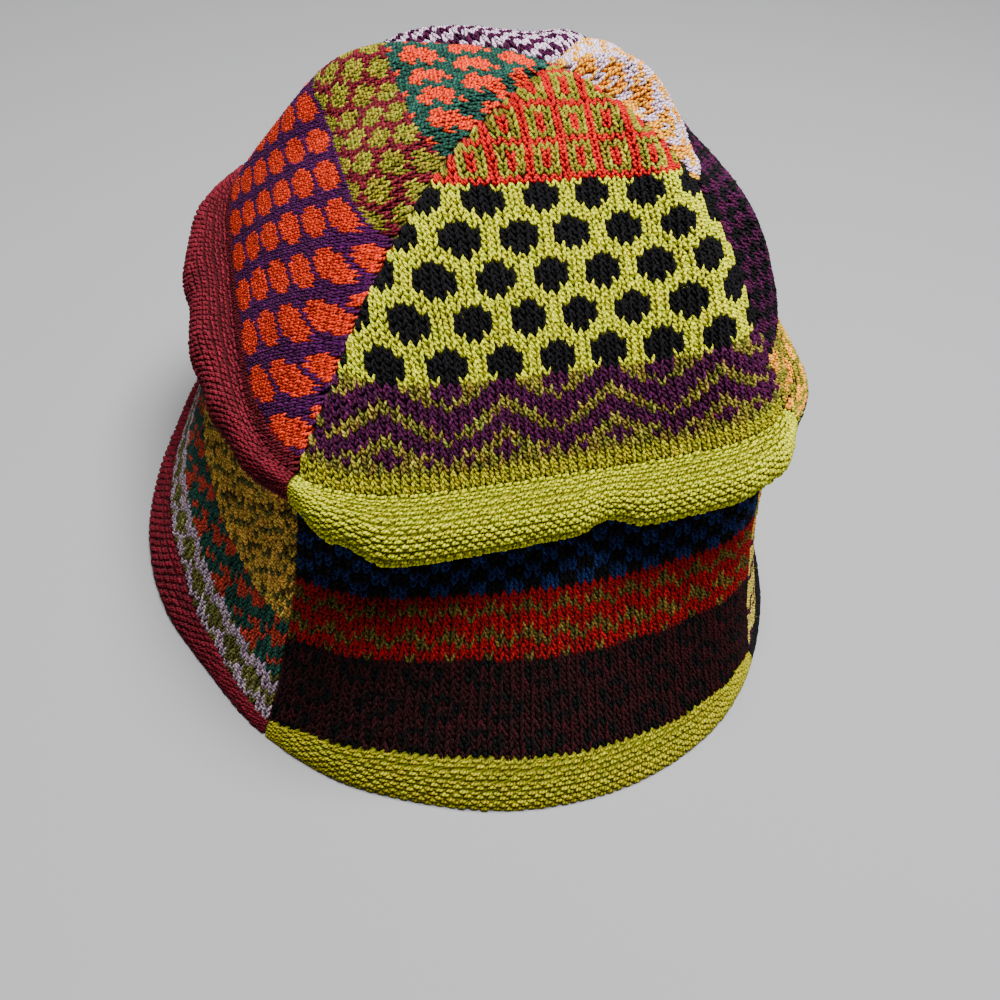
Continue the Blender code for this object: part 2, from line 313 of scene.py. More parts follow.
def strands(centre, normal, half, edge_lift, top_lift, colours):
    """Closed three-sided strands, pointed at both ends: points, faces and what each face corner carries."""
    count, steps = centre.shape[:2]
    ahead = np.zeros_like(centre)
    ahead[:, 1:-1] = centre[:, 2:] - centre[:, :-2]
    ahead[:, 0] = centre[:, 1] - centre[:, 0]
    ahead[:, -1] = centre[:, -1] - centre[:, -2]
    aside = unit(np.cross(ahead, normal))
    half, edge_lift, top_lift = (
        np.broadcast_to(a, (count, steps))[..., None] for a in (half, edge_lift, top_lift))
    left = centre - aside * half + normal * edge_lift
    top = centre + normal * top_lift
    right = centre + aside * half + normal * edge_lift
    inner = slice(1, steps - 1)
    rings = np.stack([left[:, inner], top[:, inner], right[:, inner]], 2).reshape(count, -1, 3)
    points = np.concatenate([top[:, :1], rings, top[:, -1:]], 1)
    last = 1 + 3 * (steps - 2)
    turns = (0.0, 0.3, 0.7, 1.0)
    corners = []
    for side in range(3):
        a, b = side, (side + 1) % 3
        ta, tb = turns[side], turns[side + 1]
        mid = (ta + tb) / 2
        corners.append([(0, 0, mid), (1 + b, 1, tb), (1 + a, 1, ta)])
        for ring in range(steps - 3):
            low, high = 1 + 3 * ring, 4 + 3 * ring
            corners.append([(low + a, ring + 1, ta), (low + b, ring + 1, tb), (high + b, ring + 2, tb)])
            corners.append([(low + a, ring + 1, ta), (high + b, ring + 2, tb), (high + a, ring + 2, ta)])
        end = last - 3
        corners.append([(end + a, steps - 2, ta), (end + b, steps - 2, tb), (last, steps - 1, mid)])
    table = np.array(corners)
    faces = table[..., 0].astype(int)[None] + (np.arange(count) * (last + 1))[:, None, None]
    step_of = table[..., 1].astype(int)
    along = run_along(centre)[:, step_of]
    around = np.broadcast_to(table[..., 2], along.shape)
    index = np.arange(count)[:, None, None]
    yarn_map = np.stack([along + index * STRAND_SHIFT % STRAND_PATTERN, around], -1)
    share = np.broadcast_to(step_of / (steps - 1), along.shape)
    side = int(math.ceil(math.sqrt(count)))
    cell = np.stack([index % side, index // side], -1)
    within = CELL_MARGIN + (1 - 2 * CELL_MARGIN) * np.stack([share, around], -1)
    bake_map = (cell + within) / side * (1, STRANDS_TALL)
    paint = np.broadcast_to(colours[:, None, None, :], along.shape + (3,))
    return {"points": points.reshape(-1, 3), "faces": faces.reshape(-1, 3), "yarn": yarn_map.reshape(-1, 2),
            "bake": bake_map.reshape(-1, 2), "paint": paint.reshape(-1, 3)}


def joined_strands(groups):
    """Several lots of strands as one, each with its share of the baking map's width."""
    whole = {key: [] for key in ("points", "faces", "yarn", "bake", "paint")}
    base, edge = 0, 0.0
    for lot, width in groups:
        placed = dict(lot, faces=lot["faces"] + base, bake=lot["bake"] * (width, 1) + (edge, 0))
        for key, values in placed.items():
            whole[key].append(values)
        base += len(lot["points"])
        edge += width
    return {key: np.concatenate(parts) for key, parts in whole.items()}


def paint_mesh(mesh, bake_map, yarn_map, colours):
    """Writes the baking map, the map that the yarn's twist follows, and the colour at every face corner."""
    for name, places in (("OFBake", bake_map), ("Strand", yarn_map)):
        mesh.uv_layers.new(name=name).data.foreach_set("uv", places.ravel())
    paint = mesh.color_attributes.new("Yarn", "FLOAT_COLOR", "CORNER")
    paint.data.foreach_set("color", np.column_stack([colours, np.ones(len(colours))]).ravel())


def strand_object(name, lot):
    """A mesh object made of strands."""
    mesh = bpy.data.meshes.new(name)
    points, faces = lot["points"] * MM, lot["faces"]
    mesh.vertices.add(len(points))
    mesh.vertices.foreach_set("co", points.ravel())
    mesh.loops.add(faces.size)
    mesh.loops.foreach_set("vertex_index", faces.ravel())
    mesh.polygons.add(len(faces))
    mesh.polygons.foreach_set("loop_start", np.arange(0, faces.size, 3))
    mesh.update(calc_edges=True)
    paint_mesh(mesh, lot["bake"], lot["yarn"], lot["paint"])
    thing = bpy.data.objects.new(name, mesh)
    bpy.context.scene.collection.objects.link(thing)
    return thing


def wobble(x, y, reach, draw):
    """Slow random waves over the stitches, as knitted columns are never quite straight."""
    total = 0 * x
    for _ in range(6):
        way, turn = draw.uniform(0, math.tau, 2)
        length = reach * draw.uniform(0.6, 1.6)
        total = total + np.sin((x * math.cos(way) + y * math.sin(way)) * math.tau / length + turn)
    return total / 3


# How far columns and rows wander, and the length of their waves, in stitches
COLUMN_WANDER, COLUMN_WAVE = 0.13, 9
ROW_WANDER, ROW_WAVE = 0.16, 7
# How much one stitch differs from the next
UNEVEN = {"across": 0.045, "up": 0.07, "spread": 0.07, "thickness": 0.09, "leg": 0.06}
# Share of the baking map's width for each leg, the wrong side, the fibres and the stitches at the top
LEG_SHARE, INSIDE_SHARE, FIBRE_SHARE, TOP_SHARE = 0.4, 0.13, 0.06, 0.01
BRIM_FIBRE_SHARE = 0.07        # the brim has no stitches at the top, so its fibres have that share too


def stitch_grid(first, last, rows):
    """Column and row of each stitch of a piece."""
    return (a.ravel().astype(float) for a in np.meshgrid(np.arange(first, last), np.arange(rows)))


def knit_stitches(face, to_face, column, row, letters, draw, thickness=1.0):
    """The two legs of every stitch, laid over a face."""
    shape = column.shape
    jitter_x = COLUMN_WANDER * wobble(column, row, COLUMN_WAVE, draw)
    jitter_x = jitter_x + draw.normal(0, UNEVEN["across"], shape)
    jitter_y = ROW_WANDER * wobble(column, row, ROW_WAVE, draw)
    jitter_y = jitter_y + draw.normal(0, UNEVEN["up"], shape)
    spread = 1 + draw.normal(0, UNEVEN["spread"], shape)
    lots = []
    for side in (-1, 1):
        fat = (np.exp(draw.normal(0, UNEVEN["thickness"], shape)) * thickness)[:, None]
        x = column[:, None] + 0.5 + side * LEG[:, 0] * spread[:, None] + jitter_x[:, None]
        y = row[:, None] + LEG[:, 1] + (jitter_y + draw.normal(0, UNEVEN["leg"], shape))[:, None]
        centre, normal = face_and_normal(face, *to_face(x, y))
        lots.append((strands(centre, normal, LEG[:, 2] * fat, LEG[:, 3] * fat, LEG[:, 4] * fat,
                             yarn_colours(letters, draw)), LEG_SHARE))
    return lots


# The wrong side of the knitting: each stitch shows there as a short bump across its column
INSIDE_DEPTH = 2.7
INSIDE_BUMP = np.array([
    # across, up, half width, lift of its edges, lift of its top
    (-0.62, -0.20, 0.00, -0.05, 0.00),
    (0.00, 0.25, 0.62, -0.05, 0.55),
    (0.62, -0.20, 0.00, -0.05, 0.00),
])
INSIDE_SPREAD_ACROSS, INSIDE_SPREAD_UP = 0.06, 0.10
INSIDE_OTHER_YARN = 0.35       # share of the bumps that show a neighbour's yarn, carried behind
# painted shade: how far the yarn of the wrong side is darkened, for the shade inside the hat
INSIDE_PAINTED_SHADE = 0.8


def wrong_side(face, to_face, column, row, letters, draw):
    """The bumps inside the hat, their yarn darkened as painted shade."""
    x = column[:, None] + 0.5 + INSIDE_BUMP[:, 0]
    x = x + draw.normal(0, INSIDE_SPREAD_ACROSS, column.shape)[:, None]
    y = row[:, None] + 0.5 + INSIDE_BUMP[:, 1] + draw.normal(0, INSIDE_SPREAD_UP, row.shape)[:, None]
    centre, normal = face_and_normal(face, *to_face(x, y))
    swapped = np.where(draw.random(letters.shape) < INSIDE_OTHER_YARN, np.roll(letters, 2), letters)
    # painted shade: the yarn of the bumps inside is darkened, for the shade inside the hat
    return strands(centre - normal * INSIDE_DEPTH, -normal, INSIDE_BUMP[:, 2], INSIDE_BUMP[:, 3],
                   INSIDE_BUMP[:, 4], yarn_colours(swapped, draw) * INSIDE_PAINTED_SHADE)


FIBRE_HALF = 0.026
FIBRE_ROOT = 0.45              # how far out of the face a fibre starts
FIBRE_LENGTH = (4.0, 0.42)     # shape and scale of the spread of lengths, in mm
# painted sheen: loose fibres are made lighter and paler than their yarn, as fibres that catch the light
FIBRE_SHEEN_LIGHTER, FIBRE_SHEEN_PALER = 1.2, 0.02


def loose_fibres(face, to_face, column, row, letters, count, draw):
    """Fine hairs that stand off the wool, painted lighter and paler than their yarn as a painted sheen."""
    pick = draw.integers(0, len(column), count)
    x = column[pick] + draw.uniform(0.05, 0.95, count)
    y = row[pick] + draw.uniform(-0.3, 0.9, count)
    root, normal = face_and_normal(face, *to_face(x, y))
    root = root + normal * FIBRE_ROOT
    way = unit(draw.normal(0, 1, (count, 3)) + normal * 0.5)
    bend = unit(draw.normal(0, 1, (count, 3))) * 0.5 - normal * 0.35
    length = draw.gamma(*FIBRE_LENGTH, count)[:, None]
    centre = np.stack([root, root + way * length * 0.5, root + (way + bend) * length], 1)
    up = np.repeat(unit(np.cross(np.cross(way, bend + 0.01), way))[:, None], 3, 1)
    # painted sheen: each fibre's colour is its yarn made lighter and paler
    colours = np.clip(yarn_colours(letters[pick], draw) * FIBRE_SHEEN_LIGHTER + FIBRE_SHEEN_PALER, 0, 0.95)
    half = np.array([0, FIBRE_HALF, 0])
    return strands(centre, up, half, -half, half, colours)


# The cloth behind the stitches: how far it lies under them, its thickness, and how dark its yarn is
# painted, as painted shade in the gaps between the stitches
CLOTH_UNDER = 0.35
CLOTH_THICK = 2.4
CLOTH_PAINTED_SHADE = 0.35


def cloth_grid(name, columns, rows):
    """A flat grid, and how far across and along it its points and its face corners lie."""
    bpy.ops.object.select_all(action="DESELECT")
    bpy.ops.mesh.primitive_grid_add(x_subdivisions=columns, y_subdivisions=rows, size=1)
    sheet = bpy.context.active_object
    sheet.name = sheet.data.name = name
    mesh = sheet.data
    for layer in list(mesh.uv_layers):
        mesh.uv_layers.remove(layer)
    spots = np.empty(len(mesh.vertices) * 3)
    mesh.vertices.foreach_get("co", spots)
    shares = spots.reshape(-1, 3)[:, :2] + 0.5
    corner_vertex = np.empty(len(mesh.loops), int)
    mesh.loops.foreach_get("vertex_index", corner_vertex)
    return sheet, shares.T, shares[corner_vertex].T


def cloth_map(u, v):
    """The place of the cloth on the baking map."""
    return np.column_stack([u, v]) * CLOTH_SIZE + CLOTH_CORNER


def cloth_backing(name, face, to_share, bands, columns, rows, draw, to_stitch):
    """The cloth behind the stitches, its yarn darkened as painted shade: a grid laid under the face and
    given its thickness.
    """
    sheet, (u, v), (corner_u, corner_v) = cloth_grid(name, columns, rows)
    mesh = sheet.data
    place, normal = face_and_normal(face, *to_share(u, v))
    mesh.vertices.foreach_set("co", ((place - normal * CLOTH_UNDER) * MM).ravel())
    column, row = to_stitch(corner_u.reshape(-1, 4).mean(1), corner_v.reshape(-1, 4).mean(1))
    # painted shade: the cloth's yarn is darkened where it shows in the gaps between the stitches
    colours = yarn_colours(knitted_letters(bands, column, row), draw) * CLOTH_PAINTED_SHADE
    yarn_map = np.column_stack([corner_v * rows * STITCH_TALL, corner_u * columns])
    paint_mesh(mesh, cloth_map(corner_u, corner_v), yarn_map, np.repeat(colours, 4, 0))
    mesh.update()
    wall = sheet.modifiers.new("wall", "SOLIDIFY")
    wall.thickness = CLOTH_THICK * MM
    wall.offset = -1
    bpy.ops.object.modifier_apply(modifier="wall")
    return sheet


def join_into(sheet, part):
    """Joins strands to their backing."""
    bpy.ops.object.select_all(action="DESELECT")
    part.select_set(True)
    sheet.select_set(True)
    bpy.context.view_layer.objects.active = sheet
    bpy.ops.object.join()
    sheet.data.uv_layers.active = sheet.data.uv_layers["OFBake"]
    sheet.data.polygons.foreach_set("use_smooth", np.ones(len(sheet.data.polygons), bool))
    return sheet


def spun_yarn_group():
    """Twisted plies with painted shade in their grooves and painted highlights on their crests and fibre
    tips, heathered colour and fine fuzz, for every yarn on the hat.
    """
    group = bpy.data.node_groups.new("spun_yarn", "ShaderNodeTree")
    for way, names in (("INPUT", ("Colour", "Plies", "Twist", "Heather")),
                       ("OUTPUT", ("Colour", "Roughness", "Height"))):
        for name in names:
            kind = "NodeSocketColor" if name == "Colour" else "NodeSocketFloat"
            group.interface.new_socket(name=name, in_out=way, socket_type=kind)
    nodes, links = group.nodes, group.links
    inward, outward_node = nodes.new("NodeGroupInput"), nodes.new("NodeGroupOutput")

    def number(operation, *values):
        node = nodes.new("ShaderNodeMath")
        node.operation = operation
        for socket, value in zip(node.inputs, values):
            if isinstance(value, (int, float)):
                socket.default_value = value
            else:
                links.new(value, socket)
        return node.outputs[0]

    strand = nodes.new("ShaderNodeUVMap")
    strand.uv_map = "Strand"
    split = nodes.new("ShaderNodeSeparateXYZ")
    links.new(strand.outputs[0], split.inputs[0])
    turn = number("ADD", number("MULTIPLY", split.outputs[0], inward.outputs["Twist"]),
                  number("MULTIPLY", split.outputs[1], inward.outputs["Plies"]))
    ply = number("ABSOLUTE", number("SINE", number("MULTIPLY", turn, math.pi)))
    fibre_place = nodes.new("ShaderNodeCombineXYZ")
    links.new(number("MULTIPLY", split.outputs[0], 0.7), fibre_place.inputs[0])
    links.new(number("MULTIPLY", turn, 7.0), fibre_place.inputs[1])
    fibres = nodes.new("ShaderNodeTexNoise")
    fibres.inputs["Scale"].default_value = 1.0
    fibres.inputs["Detail"].default_value = 3
    fibres.inputs["Roughness"].default_value = 0.7
    links.new(fibre_place.outputs[0], fibres.inputs["Vector"])
    place = nodes.new("ShaderNodeTexCoord")
    clouds = nodes.new("ShaderNodeTexNoise")
    clouds.inputs["Scale"].default_value = 700
    clouds.inputs["Detail"].default_value = 2
    links.new(place.outputs["Object"], clouds.inputs["Vector"])
    fleck = number("MULTIPLY", number("SUBTRACT", clouds.outputs["Fac"], 0.5), inward.outputs["Heather"])
    hair = number("MULTIPLY", number("SUBTRACT", fibres.outputs["Fac"], 0.5), 2.2)
    # painted shade and highlight: the colour is darkened in the grooves between plies and lifted on their
    # crests, together with the yarn's own heather flecks and fibre streaks
    shade = number("ADD", number("ADD", number("MULTIPLY", ply, 1.15), 0.22), number("ADD", fleck, hair))
    tone = nodes.new("ShaderNodeVectorMath")
    tone.operation = "SCALE"
    links.new(inward.outputs["Colour"], tone.inputs[0])
    links.new(number("MAXIMUM", shade, 0.08), tone.inputs["Scale"])
    # painted highlight: a little light is added where the fibre noise is high, as glints on fibre tips; in
    # dark yarn it also stands for the yarn's own paler fibres
    glint = number("MAXIMUM", number("SUBTRACT", fibres.outputs["Fac"], 0.58), 0.0)
    pale = nodes.new("ShaderNodeVectorMath")
    pale.operation = "ADD"
    links.new(tone.outputs[0], pale.inputs[0])
    links.new(number("MULTIPLY", glint, 0.05), pale.inputs[1])
    links.new(pale.outputs[0], outward_node.inputs["Colour"])
    roughness = number("ADD", 0.75, number("MULTIPLY", fibres.outputs["Fac"], 0.25))
    links.new(roughness, outward_node.inputs["Roughness"])
    height = number("ADD", ply, number("MULTIPLY", fibres.outputs["Fac"], 0.9))
    links.new(height, outward_node.inputs["Height"])
    return group


spun_yarn = spun_yarn_group()
# How the yarn is spun: plies round a strand, twists for each mm of it, and how strongly it is heathered
YARN_BUILD = {"Plies": 1.3, "Twist": 0.85, "Heather": 0.6}
wools = {}


def wool(slot):
    """Matt wool that takes its colour from the stitches' own attribute."""
    if slot in wools:
        return wools[slot]
    material = bpy.data.materials.new(slot)
    material.use_nodes = True
    nodes, links = material.node_tree.nodes, material.node_tree.links
    shader = nodes["Principled BSDF"]
    shader.inputs["Specular IOR Level"].default_value = 0.12
    shader.inputs["Sheen Weight"].default_value = 0.02
    shader.inputs["Sheen Roughness"].default_value = 0.4
    paint = nodes.new("ShaderNodeAttribute")
    paint.attribute_name = "Yarn"
    yarn = nodes.new("ShaderNodeGroup")
    yarn.node_tree = spun_yarn
    for socket, value in YARN_BUILD.items():
        yarn.inputs[socket].default_value = value
    bump = nodes.new("ShaderNodeBump")
    bump.inputs["Strength"].default_value = 0.8
    bump.inputs["Distance"].default_value = 0.00025
    links.new(paint.outputs["Color"], yarn.inputs["Colour"])
    links.new(yarn.outputs["Colour"], shader.inputs["Base Color"])
    links.new(yarn.outputs["Roughness"], shader.inputs["Roughness"])
    links.new(yarn.outputs["Height"], bump.inputs["Height"])
    links.new(bump.outputs["Normal"], shader.inputs["Normal"])
    wools[slot] = material
    return material


def finish_piece(piece, node, slot):
    """Gives a piece its wool and puts it in the place of its solid."""
    piece.data.materials.clear()
    piece.data.materials.append(wool(slot))
    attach(piece, "root")
    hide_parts(node)


ARC_STEPS = 200


def ridge_arc(quarter):
    """Shares of a quarter's turn, and the length of ridge up to each."""
    shares = np.linspace(0, 1, ARC_STEPS)
    return shares, run_along(ridge_point(math.radians(QUARTERS[quarter]) + math.pi / 2 * shares))


def quarter_columns(quarter):
    """How many stitches a quarter has at the ridge; its lip, brim and hem are knitted on the same ones."""
    return int(round(ridge_arc(quarter)[1][-1] / STITCH_WIDE))


# The ends of the four seams meet at the top, and a few sewn stitches draw them shut
TOP_MIDDLE = np.array([APEX_X, APEX_Y, CROWN_TOP - APEX_DIMPLE]) + RIDGE_MIDDLE
TOP_YARNS = "ggrOplwyrgpO"
TOP_REACH = 3.6
# How unevenly they turn, how far they lie to the side, their half widths, their height and their arch
TOP_UNEVEN, TOP_SET_OVER = 0.12, 1.2
TOP_HALF, TOP_MIDDLE_HALF, TOP_LIFT, TOP_ARCH = 0.6, 2.6, 0.5, 0.35


def top_stitches(draw):
    """Short strands laid across the top, over a broad flat one that closes the middle."""
    count, steps = len(TOP_YARNS), 5
    turn = np.arange(count) * math.pi * 5 / count + draw.normal(0, TOP_UNEVEN, count)
    way = np.stack([np.cos(turn), np.sin(turn), 0 * turn], -1)[:, None]
    side = np.stack([-np.sin(turn), np.cos(turn), 0 * turn], -1)[:, None]
    t = np.linspace(-1, 1, steps)[None, :, None]
    set_over = draw.uniform(-TOP_SET_OVER, TOP_SET_OVER, count)[:, None, None]
    set_over[0] = 0
    arch = np.array([0, 0, TOP_ARCH]) * (1 - 3 * t * t)
    centre = TOP_MIDDLE + way * t * TOP_REACH + side * set_over + arch
    half = np.full((count, steps), TOP_HALF)
    half[0] = TOP_MIDDLE_HALF
    half[:, [0, -1]] = 0
    lift = np.full((count, steps), TOP_LIFT)
    lift[:, [0, -1]] = -0.2
    up = np.broadcast_to([0.0, 0.0, 1.0], centre.shape)
    return strands(centre, up, half, -0.3, lift, yarn_colours(np.array(list(TOP_YARNS)), draw))


EVEN_ROWS = 16                 # over these rows even steps along the ridge become even turns round the top
FIBRES = 1900
SPARE_COLUMNS = 60             # columns tried past each side of a gore, as leaning ones come in from there
SEAM_SHARE = 0.001             # stitches nearer to a seam than this are left out
LINE_STEPS, LINE_END = 300, 0.012    # points of the line up a gore's middle, and where it ends near the top
STRETCHED_THICKNESS = 0.4      # power by which the yarn of taller rows covers more
for order, quarter in enumerate(QUARTERS):
    draw = np.random.default_rng(SEED + order)
    bands = CROWN_BANDS[quarter]
    lean, lean_rows, set_over = CROWN_LEAN[quarter]
    gore_columns = quarter_columns(quarter)
    arc_shares, arc = ridge_arc(quarter)
    downs = np.linspace(1, LINE_END, LINE_STEPS)
    rise = run_along(crown_face(quarter, np.full(LINE_STEPS, 0.5), downs))
    row_marks = running_total([rows for rows, _ in ROW_HEIGHTS[quarter]])
    height_marks = running_total([rows * height for rows, height in ROW_HEIGHTS[quarter]])
    gore_rows = int(np.interp(rise[-1], height_marks, row_marks))

    def gore_down(row):
        return np.interp(np.interp(row, row_marks, height_marks), rise, downs)

    def gore_share(column, row):
        down = gore_down(row)
        over = column - gore_columns / 2 + set_over - lean * np.minimum(row, lean_rows)
        turned = 0.5 + over / (gore_columns * down)
        even = np.interp(turned, arc / arc[-1], arc_shares)
        even = np.where((turned < 0) | (turned > 1), turned, even)
        return even + (turned - even) * smooth(row / EVEN_ROWS), down

    def gore_place(column, row):
        share, down = gore_share(column, row)
        return np.clip(share, 0, 1), down

    def gore_surface(across, along):
        return crown_face(quarter, across, along)

    def gore_cell(u, v):
        row = v * gore_rows
        return ((u - 0.5) * gore_columns * gore_down(row) + gore_columns / 2 - set_over
                + lean * np.minimum(row, lean_rows)), row

    column, row = stitch_grid(-SPARE_COLUMNS, gore_columns + SPARE_COLUMNS, gore_rows)
    share, _ = gore_share(column + 0.5, row + 0.5)
    kept = (share > SEAM_SHARE) & (share < 1 - SEAM_SHARE)
    column, row = column[kept], row[kept]
    letters = knitted_letters(bands, column, row)
    foot, head = (np.interp(edge, row_marks, height_marks) for edge in (row, row + 1))
    thickness = ((head - foot) / STITCH_TALL) ** STRETCHED_THICKNESS
    lots = knit_stitches(gore_surface, gore_place, column, row, letters, draw, thickness)
    lots.append((wrong_side(gore_surface, gore_place, column, row, letters, draw), INSIDE_SHARE))
    lots.append((loose_fibres(gore_surface, gore_place, column, row, letters, FIBRES, draw), FIBRE_SHARE))
    if quarter == "back":
        lots.append((top_stitches(draw), TOP_SHARE))
    gore = cloth_backing("gore_" + quarter, gore_surface, lambda u, v: (u, gore_down(v * gore_rows)), bands,
                         gore_columns, gore_rows, draw, gore_cell)
    gore = join_into(gore, strand_object("stitches", joined_strands(lots)))
    finish_piece(gore, "crown_" + quarter, "crown_" + quarter + "_knit")


# Rolled lips: the solid-colour edge of each gore, doubled, turned purl side out and rolled over the brim.
# They are wool, sewn into the seam between crown and brim. Each is in one colour, but the end of a figured
# band lies over the top of the right one.
LIP_ROWS = {
    #          share, out, down
    "front": [(0.00, 4.0, 5.0), (0.09, 9.0, 9.5), (0.17, 13.5, 12.5), (0.32, 13.0, 11.5),
              (0.52, 12.5, 11.0), (0.60, 10.0, 8.8), (0.68, 12.5, 11.0), (0.84, 12.0, 10.5),
              (0.93, 10.0, 9.0), (1.00, 5.0, 6.0)],
    "right": [(0.00, 5.0, 6.0), (0.12, 9.5, 8.5), (0.30, 12.0, 11.0), (0.55, 13.0, 11.5),
              (0.80, 12.0, 11.0), (1.00, 4.5, 5.0)],
    "back": [(0.00, 4.5, 5.0), (0.15, 11.0, 10.5), (0.35, 13.0, 12.0), (0.48, 11.0, 10.0),
             (0.65, 13.0, 12.0), (0.85, 11.5, 11.0), (1.00, 4.5, 5.0)],
    "left": [(0.00, 5.0, 5.0), (0.16, 14.0, 12.0), (0.34, 16.5, 14.0), (0.45, 14.5, 13.0),
             (0.58, 15.5, 14.0), (0.74, 11.5, 11.5), (0.88, 7.0, 8.0), (1.00, 4.0, 5.0)],
}
LIP_SECTION = [
    # share out, mm out, share down, mm down: along the top, round the roll and back underneath
    (0.0, -3.0, 0.0, 0.0), (0.0, 0.6, 0.0, -0.1), (0.42, 1.0, 0.08, 0.0), (0.80, 0.4, 0.38, 0.0),
    (1.0, 0.0, 0.82, 0.0), (0.97, 0.0, 1.12, 0.6), (0.84, 0.0, 1.14, 1.6), (0.68, 0.1, 0.90, 2.8),
    (0.48, 0.2, 0.55, 3.4), (0.22, 0.2, 0.20, 3.3), (0.0, 0.2, 0.0, 3.2), (0.0, -3.0, 0.0, 3.0),
]
LIP_STEPS = 44
LIP_BUMP_ROWS = 21
RELIEF_OUT, RELIEF_DOWN = 0.93, 0.88          # the roll under the bumps is this share of the whole lip
LIP_YARN = {"front": "l", "right": "k", "back": "p", "left": "m"}
# The band that ends over the top of the right lip, and the plain lips
LIP_BANDS = {quarter: [(96, [letter], 0)] for quarter, letter in LIP_YARN.items()}
LIP_BANDS["right"] = [(11, BEADS, 0), (96, ["k"], 0)]
LIP_SLOT = {"front": "lime_yarn", "right": "black_yarn", "back": "purple_yarn", "left": "maroon_yarn"}

# How the sections of lips and hems are read, and the cloth of their rolls
SECTION_STEPS = 200
SECTION_WEIGHTS = np.array([12, 1, 12, 1])    # how much each column of a section counts for in its length
CORNER_STEPS = 16
ROLL_ROUND = 40                # length of yarn pattern round a roll
ROLL_PAINTED_SHADE = 0.3               # painted shade: how dark the roll's yarn is painted, where it shows between the bumps and where the roll is bare


def smooth_section(section):
    """A closed section as points along a smooth curve through its corners, evenly apart."""
    corners = np.array(section, float)
    count, width = corners.shape
    fine = []
    for i in range(count):
        a, b, c, d = (corners[(i + k) % count] for k in (-1, 0, 1, 2))
        for t in np.linspace(0, 1, CORNER_STEPS, endpoint=False):
            fine.append(0.5 * (2 * b + (c - a) * t + (2 * a - 5 * b + 4 * c - d) * t * t
                               + (3 * b - a - 3 * c + d) * t ** 3))
    fine = np.array(fine + [fine[0]])
    run = run_along(fine * SECTION_WEIGHTS[:width])
    even = np.linspace(0, run[-1], SECTION_STEPS + 1)
    return [np.interp(even, run, fine[:, k]) for k in range(width)]


def section_at(table, along):
    """The columns of a smooth section at shares of the way round it."""
    spot = np.clip(along, 0, 1) * SECTION_STEPS
    return [np.interp(spot, np.arange(SECTION_STEPS + 1), column) for column in table]


def closed_roll(name, face, columns, steps, letter, draw):
    """A rolled edge, its yarn darkened as painted shade: a grid wrapped round its section, welded along its
    length and closed at both ends.
    """
    roll, (u, v), (corner_u, corner_v) = cloth_grid(name, columns, steps)
    mesh = roll.data
    mesh.vertices.foreach_set("co", (face(u, v) * MM).ravel())
    # painted shade: the roll's yarn is darkened where it shows between the bumps and where it is bare
    colours = yarn_colours(np.full(len(mesh.polygons), letter), draw) * ROLL_PAINTED_SHADE
    yarn_map = np.column_stack([corner_v * ROLL_ROUND, corner_u * columns])
    paint_mesh(mesh, cloth_map(corner_u, corner_v), yarn_map, np.repeat(colours, 4, 0))
    mesh.update()
    bpy.ops.object.mode_set(mode="EDIT")
    bpy.ops.mesh.select_all(action="SELECT")
    bpy.ops.mesh.remove_doubles(threshold=0.00001)
    bpy.ops.mesh.select_all(action="DESELECT")
    bpy.ops.mesh.select_non_manifold()
    bpy.ops.mesh.fill_holes(sides=0)
    bpy.ops.mesh.select_all(action="SELECT")
    bpy.ops.mesh.normals_make_consistent(inside=False)
    bpy.ops.object.mode_set(mode="OBJECT")
    return roll


# One purl bump, from end to end: a short arched strand that lies across the columns
BUMP = np.array([
    # along, up, half width, lift of its edges, lift of its top
    (-0.60, -0.42, 0.00, -0.20, -0.20),
    (-0.24, 0.12, 0.55, 0.00, 0.80),
    (0.24, 0.12, 0.55, 0.00, 0.80),
    (0.60, -0.42, 0.00, -0.20, -0.20),
])
BUMP_TILT = 0.2                # how far a bump slopes, in rows for each stitch
BUMP_UNEVEN = {"across": 0.05, "up": 0.10, "thickness": 0.10}    # how much one bump differs from the next


def purl_bumps(face, columns, rows, first, last, bands, draw, thickness=1.0):
    """Rows of bumps between two shares of the way round a section, every other row half a stitch over."""
    column, row = stitch_grid(0, columns, rows)
    odd = (row % 2)[:, None]
    x = column[:, None] + 0.5 + odd * 0.5 + BUMP[:, 0]
    x = x + draw.normal(0, BUMP_UNEVEN["across"], column.shape)[:, None]
    y = row[:, None] + 0.5 + BUMP[:, 1] * (1 - 2 * odd) - BUMP[:, 0] * BUMP_TILT
    y = y + draw.normal(0, BUMP_UNEVEN["up"], column.shape)[:, None]
    across = np.clip(x / columns, 0, 1)
    place, normal = face_and_normal(face, across, first + (last - first) * y / rows, lowest=0.0)
    fat = np.exp(draw.normal(0, BUMP_UNEVEN["thickness"], column.shape))[:, None] * thickness
    return strands(place, normal, BUMP[:, 2] * fat, BUMP[:, 3] * fat, BUMP[:, 4] * fat,
                   yarn_colours(knitted_letters(bands, column, row), draw))


